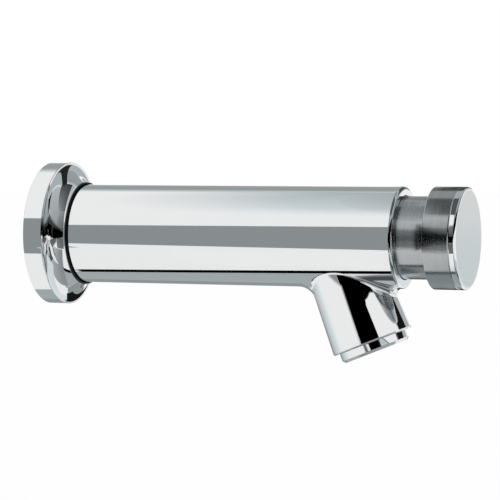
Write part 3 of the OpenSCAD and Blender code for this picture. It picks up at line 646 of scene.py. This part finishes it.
# %% Wall flange
sweep = math.radians(85.8)
flange_r, flange_lip_r, flange_bore, flange_rim = 27.5, 19.75, 19.3, 7.6
cove_r = (flange_r - flange_lip_r) / math.sin(sweep)
flange_depth = flange_rim + cove_r * (1 - math.cos(sweep))
cove_foot = flange_r - cove_r * math.tan(sweep / 2)
groove_front, groove_back, groove_r, flange_web = 10.275, 8.325, 20.61, 5.8
flange_hollow_r, fine_steps = 25.7, 256
flange_profile = [
    (0, flange_r, 0.25),
    (flange_rim, flange_r, 0.22),
    (flange_rim, cove_foot, cove_r - 0.35),
    (flange_depth, flange_lip_r, 0.12),
    (flange_depth, flange_bore, 0.12),
    (groove_front, flange_bore, 0),
    (groove_front, groove_r, 0),
    (groove_back, groove_r, 0),
    (groove_back, flange_bore, 0),
    (flange_web, flange_bore, 0.2),
    (flange_web, flange_hollow_r, 0.6),
    (0, flange_hollow_r, 0.2),
]
wall_flange_skin = sew("wall_flange_skin", turned_faces(flange_profile, fine_steps, arc_steps=16))

# %% [markdown]
# ## The body: barrel, spout and the blend between them
# Barrel and spout are one casting. Where they meet, the foundry leaves a soft inside curve, wide at
# the wall side and narrow under the front edge. A boolean union with a bevel makes a rough seam
# there, and subdivision would round the barrel too. A ball that rolls round the corner, larger or
# smaller on its way, touches barrel and spout exactly, so the strip that it sweeps joins both
# without a crease.

# %% The rolling ball between spout and barrel
barrel_r, spout_x, spout_len = 19.0, 115.0, 42.1
tilt, flare = math.radians(21.8), math.radians(2.6)
slope = math.tan(flare)
spout_end_r = 15.5
spout_root_r = spout_end_r - slope * spout_len
blend_front, blend_back, blend_side = 2.5, 7.2, 1.1
spout_axis = np.array((math.sin(tilt), 0, -math.cos(tilt)))
spout_front = np.array((math.cos(tilt), 0, math.sin(tilt)))


def around_spout(a):
    return np.cos(a)[..., None] * spout_front + np.sin(a)[..., None] * np.array((0, 1.0, 0))


def on_spout(a, d):
    r = spout_root_r + slope * d
    return np.array((spout_x, 0, 0)) + d[..., None] * spout_axis + r[..., None] * around_spout(a)


def spout_normal(a):
    return around_spout(a) * math.cos(flare) - spout_axis * math.sin(flare)


def rolling_ball(a):
    """Ball radius, its place and its touch points on spout and barrel, at the angle a round the spout."""
    r = blend_side + (np.where(np.cos(a) > 0, blend_front, blend_back) - blend_side) * np.cos(a) ** 2
    k = spout_root_r + r * math.cos(flare)
    p = math.cos(tilt) - slope * np.cos(a) * math.sin(tilt)
    q = -r * math.sin(flare) * math.cos(tilt) - k * np.cos(a) * math.sin(tilt)
    s, t = slope * np.sin(a), k * np.sin(a)
    m, n = p * q + s * t, p * p + s * s
    d = (-m + np.sqrt(m * m - n * (q * q + t * t - (barrel_r + r) ** 2))) / n
    low = on_spout(a, d)
    ball = low + spout_normal(a) * r[..., None]
    high = ball - ball * np.array((0, 1, 1)) * (r / (barrel_r + r))[..., None]
    return r, d, ball, low, high


def on_blend(a, t):
    r, _, ball, low, high = rolling_ball(a)
    va, vb = (low - ball) / r[..., None], (high - ball) / r[..., None]
    turn = np.arccos((va * vb).sum(-1))
    wa, wb = np.sin((1 - t) * turn) / np.sin(turn), np.sin(t * turn) / np.sin(turn)
    return ball + (va * wa[..., None] + vb * wb[..., None]) * r[..., None]


around = 192
turn_angles = np.linspace(0, 2 * math.pi, around + 1)
blend_starts = rolling_ball(turn_angles)[1]
print("blend starts", blend_starts.min().round(2), "to", blend_starts.max().round(2), "mm down the spout")

# %% Strips of the blend and the spout
def grid_faces(points, normals):
    faces = []
    for i in range(points.shape[0] - 1):
        for j in range(points.shape[1] - 1):
            pick = ([i, i, i + 1, i + 1], [j, j + 1, j + 1, j])
            faces.append((points[pick], normals[pick]))
    return faces


rows = np.linspace(0, 1, 15)
a_grid, t_grid = np.meshgrid(turn_angles, rows)
tiny = 1e-4
along_a = on_blend(a_grid + tiny, t_grid) - on_blend(a_grid - tiny, t_grid)
along_t = on_blend(a_grid, t_grid + tiny) - on_blend(a_grid, t_grid - tiny)
blend_normals = np.cross(along_a, along_t)
blend_normals /= np.linalg.norm(blend_normals, axis=-1)[..., None]
blend_points = on_blend(a_grid, t_grid)
inward = rolling_ball(a_grid)[2] - blend_points
blend_normals *= np.sign((blend_normals * inward).sum(-1))[..., None]
body_faces = grid_faces(blend_points, blend_normals)

spout_bevel = 0.5
d_grid = rolling_ball(a_grid)[1] * (1 - t_grid) + (spout_len - spout_bevel) * t_grid
body_faces += grid_faces(on_spout(a_grid, d_grid), spout_normal(a_grid))
print("blend and spout have", len(body_faces), "faces")

# %% Mouth of the spout
spout_place = Matrix(
    (
        (spout_axis[0], 0, spout_front[0], spout_x),
        (0, 1, 0, 0),
        (spout_axis[2], 0, spout_front[2], 0),
        (0, 0, 0, 1),
    )
)
hollow_top, mouth_top = 24.783, 31.5
mouth_r, mouth_hollow_r = 12.0, 10.8
mouth_profile = [
    (hollow_top, 0, 0),
    (hollow_top, spout_root_r + slope * hollow_top, 0),
    (spout_len - spout_bevel, spout_end_r - slope * spout_bevel, 0),
    (spout_len, spout_end_r - spout_bevel, 0),
    (spout_len, mouth_r, 0),
    (mouth_top, mouth_r, 0),
    (mouth_top, mouth_hollow_r, 0),
    (hollow_top, mouth_hollow_r, 0),
]
place = np.array(spout_place)
for points, normals in turned_faces(mouth_profile, around, skip=(0, 1)):
    body_faces.append((points @ place[:3, :3].T + place[:3, 3], normals @ place[:3, :3].T))
print("with the mouth:", len(body_faces), "faces")

# %% Barrel ends and bore
barrel_back, barrel_front, barrel_edge, bore_r = 7.0, 143.8, 1.3, 15.7
seat_front, seat_back, seat_r, bore_step = 142.7, 139.1, 16.7, 94.39
chamber_r, inlet_step, inlet_r, back_edge = 14.2, 20.5, 9.45, 0.8
barrel_profile = [
    (barrel_back + back_edge, barrel_r, 0),
    (barrel_front, barrel_r, barrel_edge),
    (barrel_front, bore_r, 0.2),
    (seat_front, bore_r, 0),
    (seat_front, seat_r, 0),
    (seat_back, seat_r, 0),
    (seat_back, bore_r, 0),
    (bore_step, bore_r, 0),
    (bore_step, chamber_r, 0),
    (inlet_step, chamber_r, 0),
    (inlet_step, inlet_r, 0),
    (barrel_back, inlet_r, 0),
    (barrel_back, barrel_r - back_edge, 0),
]
body_faces += turned_faces(barrel_profile, around, skip=(0,), arc_steps=10)
print("with the ends and the bore:", len(body_faces), "faces")

# %% Barrel side with the hole for the blend
hole = rolling_ball(turn_angles[:-1])[4]
hole_flat = np.stack([hole[:, 0], np.arctan2(hole[:, 1], -hole[:, 2]) * barrel_r], 1)
sides = np.linspace(-math.pi, math.pi, around + 1) * barrel_r
stations = np.linspace(barrel_back + back_edge, barrel_front - barrel_edge, 36)
spots = [Vector(p) for p in hole_flat]
for x in stations:
    for s in sides:
        near = np.linalg.norm(hole_flat - (x, s), axis=1)
        if near.min() > 0.45:
            spots.append(Vector((x, s)))
ring_edges = [(i, (i + 1) % around) for i in range(around)]
flat_points, _, flat_faces, *_ = geometry.delaunay_2d_cdt(spots, ring_edges, [], 0, 1e-7)


def in_hole(x, s):
    x0, s0 = hole_flat[:, 0], hole_flat[:, 1]
    x1, s1 = np.roll(x0, -1), np.roll(s0, -1)
    cuts = (s0 > s) != (s1 > s)
    cross = x0[cuts] + (s - s0[cuts]) / (s1[cuts] - s0[cuts]) * (x1[cuts] - x0[cuts])
    return (cross > x).sum() % 2 == 1


for face in flat_faces:
    corners = np.array([flat_points[i] for i in face])
    if in_hole(*corners.mean(0)):
        continue
    angle = corners[:, 1] / barrel_r
    radial = np.stack([np.zeros_like(angle), np.sin(angle), -np.cos(angle)], 1)
    body_faces.append((radial * barrel_r + corners[:, :1] * np.array((1, 0, 0)), radial))
tap_body_skin = sew("tap_body_skin", body_faces)

# %% [markdown]
# ## Button, cap and aerator ring
# The button is turned from one bar: a hollow neck that slides into the barrel and a knob as wide as
# the barrel. A polished cap is pressed into its front. The aerator's ring shows under the spout.

# %% Push button
neck_r, knob_back, knob_front = 15.4, 155.2, 165.05
neck_back, neck_bore, knob_web_front, knob_web_back = 137.06, 13.3, 160.5, 157.0
screw_hole_r = 2.55
button_profile = [
    (neck_back, neck_r, 0.35),
    (knob_back, neck_r, 0.25),
    (knob_back, barrel_r, 0.35),
    (knob_front, barrel_r, 0.35),
    (knob_front, neck_bore, 0),
    (knob_web_front, neck_bore, 0),
    (knob_web_front, screw_hole_r, 0),
    (knob_web_back, screw_hole_r, 0),
    (knob_web_back, neck_bore, 0),
    (neck_back, neck_bore, 0.35),
]
push_button_skin = sew("push_button_skin", turned_faces(button_profile, fine_steps))

# %% Button cap
cap_front = knob_front + 2.75
spigot_bore, spigot_r = 11.75, 13.25
cap_profile = [
    (knob_front, barrel_r, 0.35),
    (cap_front, barrel_r, 0.9),
    (cap_front, 0, 0),
    (knob_front, 0, 0),
    (knob_front, spigot_bore, 0),
    (knob_front - 2, spigot_bore, 0),
    (knob_front - 2, spigot_r, 0.3),
    (knob_front, spigot_r, 0),
]
button_cap_skin = sew("button_cap_skin", turned_faces(cap_profile, fine_steps, arc_steps=10))

# %% Aerator housing
ring_bottom = 46.0
ring_top, ring_thread_r, ring_r, ring_foot_r = 33.3, 11.95, 13.2, 12.2
lip_top, outlet_r, ring_bore = 44.8, 9.45, 10.65
aerator_profile = [
    (ring_top, ring_thread_r, 0.3),
    (spout_len, ring_thread_r, 0),
    (spout_len, ring_r, 0.2),
    (ring_bottom - 1, ring_r, 0.2),
    (ring_bottom, ring_foot_r, 0.2),
    (ring_bottom, outlet_r, 0.15),
    (lip_top, outlet_r, 0.15),
    (lip_top, ring_bore, 0),
    (ring_top, ring_bore, 0.2),
]
aerator_housing_skin = sew("aerator_housing_skin", turned_faces(aerator_profile, around), spout_place)

# %% [markdown]
# ## Inlet connector
# Behind the flange a brass connector screws into the wall's half inch fitting. It is turned, with a
# key hole of six sides cut into its end. The core is a turned profile at the bottom of the thread,
# and the key hole's flats are added as faces, because a profile that turns can only give round holes.

# %% Core of the inlet connector
thread_back, thread_front, thread_crest, thread_depth, thread_pitch = -7.5, 5.5, 10.4775, 1.162, 1.814
thread_root = thread_crest - thread_depth
key_back, key_front, pocket_r, water_r = -4.5, 3.5, 8.2, 5.5
collar_r, shank_r, shank_end, ring_groove_r = 13.0, 9.4, 20.0, 7.8
ring_groove_back, ring_groove_front, nipple_steps, key_half = 16.56, 18.64, 96, 6.0
nipple_profile = [
    (key_front, water_r, 0),
    (key_back, pocket_r, 0),
    (thread_back, pocket_r, 0.2),
    (thread_back, thread_root, 0.4),
    (thread_front, thread_root, 0),
    (thread_front, collar_r, 0.3),
    (barrel_back, collar_r, 0.3),
    (barrel_back, shank_r, 0),
    (ring_groove_back, shank_r, 0),
    (ring_groove_back, ring_groove_r, 0),
    (ring_groove_front, ring_groove_r, 0),
    (ring_groove_front, shank_r, 0),
    (shank_end, shank_r, 0.4),
    (shank_end, water_r, 0.2),
]
nipple_faces = turned_faces(nipple_profile, nipple_steps, skip=(0,))
key_angles = np.linspace(-math.pi, math.pi, nipple_steps + 1)
key_r = key_half / np.cos(np.mod(key_angles, math.pi / 3) - math.pi / 6)
flat_angles = (np.floor(key_angles[:-1] / (math.pi / 3) + 0.01) + 0.5) * math.pi / 3
for j in range(nipple_steps):
    a, b = key_angles[j : j + 1], key_angles[j + 1 : j + 2]
    spots = [
        (key_front, water_r, water_r),
        (key_front, key_r[j], key_r[j + 1]),
        (key_back, key_r[j], key_r[j + 1]),
        (key_back, pocket_r, pocket_r),
    ]
    inward = -ring(0, 1, flat_angles[j : j + 1])[0]
    for k, normal in ((0, (-1, 0, 0)), (1, inward), (2, (-1, 0, 0))):
        p, q = spots[k], spots[k + 1]
        corners = [
            ring(p[0], p[1], a)[0], ring(p[0], p[2], b)[0], ring(q[0], q[2], b)[0], ring(q[0], q[1], a)[0]
        ]
        nipple_faces.append((np.array(corners), np.array([normal] * 4, float)))
inlet_nipple_skin = sew("inlet_nipple_skin", nipple_faces)

# %% [markdown]
# ## Pieces that Geometry Nodes wind or repeat
# A thread and a spring both follow a spiral, and the outlet's lattice repeats one bar. Modelling
# turns by hand is slow and a Screw modifier can't taper its ends. A node tree holds the rule once,
# its sizes are inputs with names, and the result is turned into a plain mesh at the end.

# %% Trees with named sizes
def spiral(tree, sizes, radius, rise):
    inputs = {"Resolution": sizes["Steps"], "Rotations": sizes["Turns"], "Height": rise, "Reverse": True}
    inputs.update({"Start Radius": radius, "End Radius": radius})
    return one(tree, "GeometryNodeCurveSpiral", inputs)


def round_corners(tree, curve, count, radius):
    inputs = {"Curve": curve, "Count": count, "Radius": radius}
    return one(tree, "GeometryNodeFilletCurve", inputs, mode="POLY")


def start_tree(name, labels):
    tree = bpy.data.node_groups.new(name, "GeometryNodeTree")
    tree.interface.new_socket("Geometry", in_out="OUTPUT", socket_type="NodeSocketGeometry")
    for label in labels:
        kind = "NodeSocketInt" if label in ("Steps", "Bars") else "NodeSocketFloat"
        tree.interface.new_socket(label, in_out="INPUT", socket_type=kind)
    tree.interface.new_socket("Finish", in_out="INPUT", socket_type="NodeSocketMaterial")
    return tree, add_node(tree, "NodeGroupInput").outputs


def end_tree(tree, sizes, shape):
    smooth = add_node(tree, "GeometryNodeSetShadeSmooth", {"Geometry": shape})
    real = add_node(tree, "GeometryNodeRealizeInstances", {"Geometry": smooth.outputs[0]})
    done = add_node(
        tree, "GeometryNodeSetMaterial", {"Geometry": real.outputs[0], "Material": sizes["Finish"]}
    )
    add_node(tree, "NodeGroupOutput", {0: done.outputs[0]})


def grow(name, tree, values, finish, place, sharp=35):
    """The tree's result as a plain mesh object; values in mm or counts, place is where it goes."""
    piece = bpy.data.objects.new(name, bpy.data.meshes.new(name))
    scene.collection.objects.link(piece)
    nodes = piece.modifiers.new("grow", "NODES")
    nodes.node_group = tree
    for item in tree.interface.items_tree:
        if item.in_out == "INPUT":
            value = finish if item.name == "Finish" else values[item.name]
            nodes[item.identifier] = value
    seen = piece.evaluated_get(bpy.context.evaluated_depsgraph_get())
    made = bpy.data.meshes.new_from_object(seen)
    piece.modifiers.clear()
    piece.data = made
    made.name = name
    made.transform(place)
    made.set_sharp_from_angle(angle=math.radians(sharp))
    print(name, "has", len(made.polygons), "faces")
    return piece


along_x = Matrix(((0, 0, 1, 0), (1, 0, 0, 0), (0, 1, 0, 0), (0, 0, 0, 1)))
to_metres = Matrix.Scale(mm, 4)
print("helpers:", ", ".join(f.__name__ for f in (spiral, round_corners, start_tree, end_tree, grow)))

# %% Thread of the inlet
thread_flank, thread_foot, thread_sink = math.radians(27.5), 0.42, -0.2
thread_start, thread_thin_end = thread_back + 0.7, 0.08
labels = ["Root Radius", "Depth", "Pitch", "Turns", "Steps", "Run Out"]
thread_tree, sizes = start_tree("inlet_thread", labels)
rise = maths(thread_tree, "MULTIPLY", sizes["Pitch"], sizes["Turns"])
path = spiral(thread_tree, sizes, sizes["Root Radius"], rise)
path = one(thread_tree, "GeometryNodeSetCurveNormal", {"Curve": path}, mode="Z_UP")
foot = maths(thread_tree, "MULTIPLY", sizes["Pitch"], thread_foot)
narrowing = maths(thread_tree, "MULTIPLY", sizes["Depth"], math.tan(thread_flank))
crest = maths(thread_tree, "SUBTRACT", foot, narrowing)
section = add_node(thread_tree, "GeometryNodeCurvePrimitiveQuadrilateral", mode="POINTS")
corners = [(foot, -1, thread_sink), (foot, 1, thread_sink), (crest, 1, 1.0), (crest, -1, 1.0)]
for n, (half, side, share) in enumerate(corners):
    reach = maths(thread_tree, "MULTIPLY", sizes["Depth"], share)
    aside = maths(thread_tree, "MULTIPLY", half, side)
    spot = one(thread_tree, "ShaderNodeCombineXYZ", {"X": reach, "Y": aside})
    thread_tree.links.new(spot, section.inputs[f"Point {n + 1}"])
rounded = round_corners(thread_tree, section.outputs[0], 3, 0.1)
part = add_node(thread_tree, "GeometryNodeSplineParameter").outputs["Factor"]
nearest_end = maths(thread_tree, "MINIMUM", part, maths(thread_tree, "SUBTRACT", 1.0, part))
turns_left = maths(thread_tree, "MULTIPLY", nearest_end, sizes["Turns"])
taper = maths(thread_tree, "DIVIDE", turns_left, sizes["Run Out"])
taper = maths(thread_tree, "MAXIMUM", maths(thread_tree, "MINIMUM", taper, 1.0), thread_thin_end)
inputs = {"Curve": path, "Profile Curve": rounded, "Scale": taper, "Fill Caps": True}
end_tree(thread_tree, sizes, one(thread_tree, "GeometryNodeCurveToMesh", inputs))
thread_values = {"Root Radius": thread_root, "Depth": thread_depth, "Pitch": thread_pitch}
thread_values.update({"Turns": 6.4, "Steps": 64, "Run Out": 0.7})
thread_place = to_metres @ Matrix.Translation((thread_start, 0, 0)) @ along_x
inlet_thread_ridge = grow("inlet_thread_ridge", thread_tree, thread_values, brass, thread_place)

# %% Return spring
spring_back, spring_front, wire_steps = 112.84, 130.61, 16
labels = ["Coil Radius", "Wire Radius", "Length", "Turns", "Steps"]
spring_tree, sizes = start_tree("return_spring", labels)
path = spiral(spring_tree, sizes, sizes["Coil Radius"], sizes["Length"])
inputs = {"Resolution": wire_steps, "Radius": sizes["Wire Radius"]}
wire = one(spring_tree, "GeometryNodeCurvePrimitiveCircle", inputs)
inputs = {"Curve": path, "Profile Curve": wire, "Fill Caps": True}
end_tree(spring_tree, sizes, one(spring_tree, "GeometryNodeCurveToMesh", inputs))
spring_values = {"Coil Radius": 8.0, "Wire Radius": 0.6, "Turns": 5.5, "Steps": 48}
spring_values["Length"] = spring_front - spring_back
spring_place = to_metres @ Matrix.Translation((spring_back, 0, 0)) @ along_x
return_spring_coil = grow("return_spring_coil", spring_tree, spring_values, steel, spring_place)

# %% Lattice at the outlet
lattice_middle, bar_rounding, rim_steps = 44.2, 0.15, 96
labels = ["Radius", "Pitch", "Bar", "Thickness", "Rim", "Bars"]
lattice_tree, sizes = start_tree("outlet_lattice", labels)


def times(a, b):
    return maths(lattice_tree, "MULTIPLY", a, b)


def minus(a, b):
    return maths(lattice_tree, "SUBTRACT", a, b)


def soft_rectangle(width, height):
    inputs = {"Width": width, "Height": height}
    cut = one(lattice_tree, "GeometryNodeCurvePrimitiveQuadrilateral", inputs)
    return round_corners(lattice_tree, cut, 2, bar_rounding)


edge = times(times(minus(sizes["Bars"], 1.0), sizes["Pitch"]), -0.5)
first = one(lattice_tree, "ShaderNodeCombineXYZ", {"Y": edge})
step = one(lattice_tree, "ShaderNodeCombineXYZ", {"Y": sizes["Pitch"]})
inputs = {"Count": sizes["Bars"], "Start Location": first, "Offset": step}
rows_of_bars = one(lattice_tree, "GeometryNodeMeshLine", inputs, mode="OFFSET")
reach = minus(sizes["Radius"], times(sizes["Rim"], 0.5))
here = one(lattice_tree, "GeometryNodeInputPosition")
at_row = add_node(lattice_tree, "ShaderNodeSeparateXYZ", {0: here}).outputs["Y"]
half_chord = maths(lattice_tree, "SQRT", minus(times(reach, reach), times(at_row, at_row)))
stretch = one(lattice_tree, "ShaderNodeCombineXYZ", {"X": half_chord, "Y": 1.0, "Z": 1.0})
shapes = []
for share, quarter in ((1.0, 0.0), (0.86, math.pi / 2)):
    line = one(lattice_tree, "GeometryNodeCurvePrimitiveLine", {"Start": (-1, 0, 0), "End": (1, 0, 0)})
    line = one(lattice_tree, "GeometryNodeSetCurveNormal", {"Curve": line}, mode="Z_UP")
    cut = soft_rectangle(sizes["Bar"], times(sizes["Thickness"], share))
    inputs = {"Curve": line, "Profile Curve": cut, "Fill Caps": True}
    bar = one(lattice_tree, "GeometryNodeCurveToMesh", inputs)
    inputs = {"Points": rows_of_bars, "Instance": bar, "Scale": stretch}
    bars = one(lattice_tree, "GeometryNodeInstanceOnPoints", inputs)
    inputs = {"Geometry": bars, "Rotation": (0, 0, quarter)}
    shapes.append(one(lattice_tree, "GeometryNodeTransform", inputs))
rim_path = one(lattice_tree, "GeometryNodeCurvePrimitiveCircle", {"Resolution": rim_steps, "Radius": reach})
rim_cut = soft_rectangle(sizes["Rim"], sizes["Thickness"])
shapes.append(one(lattice_tree, "GeometryNodeCurveToMesh", {"Curve": rim_path, "Profile Curve": rim_cut}))
lattice = add_node(lattice_tree, "GeometryNodeJoinGeometry")
for shape in shapes:
    lattice_tree.links.new(shape, lattice.inputs[0])
end_tree(lattice_tree, sizes, lattice.outputs[0])
lattice_values = {"Radius": 10.6, "Pitch": 2.3, "Bar": 0.6, "Thickness": 1.2, "Rim": 1.3, "Bars": 8}
screen_place = spout_place @ Matrix.Translation((lattice_middle, 0, 0)) @ along_x
aerator_lattice = grow("aerator_lattice", lattice_tree, lattice_values, steel, to_metres @ screen_place)

# %% [markdown]
# ## Who rides on what
# Every new piece is listed with the body that carries it, the CAD solid it stands for, the record's
# finish slot (not read here) and its finish. It rides on that body, the CAD solid is hidden, and it
# gets the finish if it has none yet. The spring is pressed between its guide and the piston; here it
# rides on the tap and gets a mesh of its own.

# %% Ride and replace
for piece, body, node, slot, finish in [
    (wall_flange_skin, "flange", "wall_flange", "chrome", flange_chrome),
    (tap_body_skin, "tap", "tap_body", "chrome", chrome),
    (push_button_skin, "button", "push_button", "brushed", brushed),
    (button_cap_skin, "button", "button_cap", "cap", cap_finish),
    (aerator_housing_skin, "tap", "aerator_housing", "chrome", chrome),
    (inlet_nipple_skin, "tap", "inlet_nipple", "brass", brass),
    (inlet_thread_ridge, "tap", "inlet_nipple", "brass", brass),
    (return_spring_coil, "tap", "return_spring", "steel", steel),
    (aerator_lattice, "tap", "aerator_screen", "steel", steel),
]:
    if not piece.data.materials:
        piece.data.materials.append(finish)
    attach(piece, body)
    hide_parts(node)
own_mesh(return_spring_coil)

# %% Finishes for the CAD nodes that stay
slot_finish = {
    "chrome": chrome,
    "cap": cap_finish,
    "brushed": brushed,
    "brass": brass,
    "steel": steel,
    "rubber": rubber,
    "acetal": acetal,
}
for row in frame["record"]["subparts"]:
    cad_node = frame["nodes"][row["node"]]
    cad_node.data.materials.clear()
    cad_node.data.materials.append(slot_finish[row["material_slot"]])
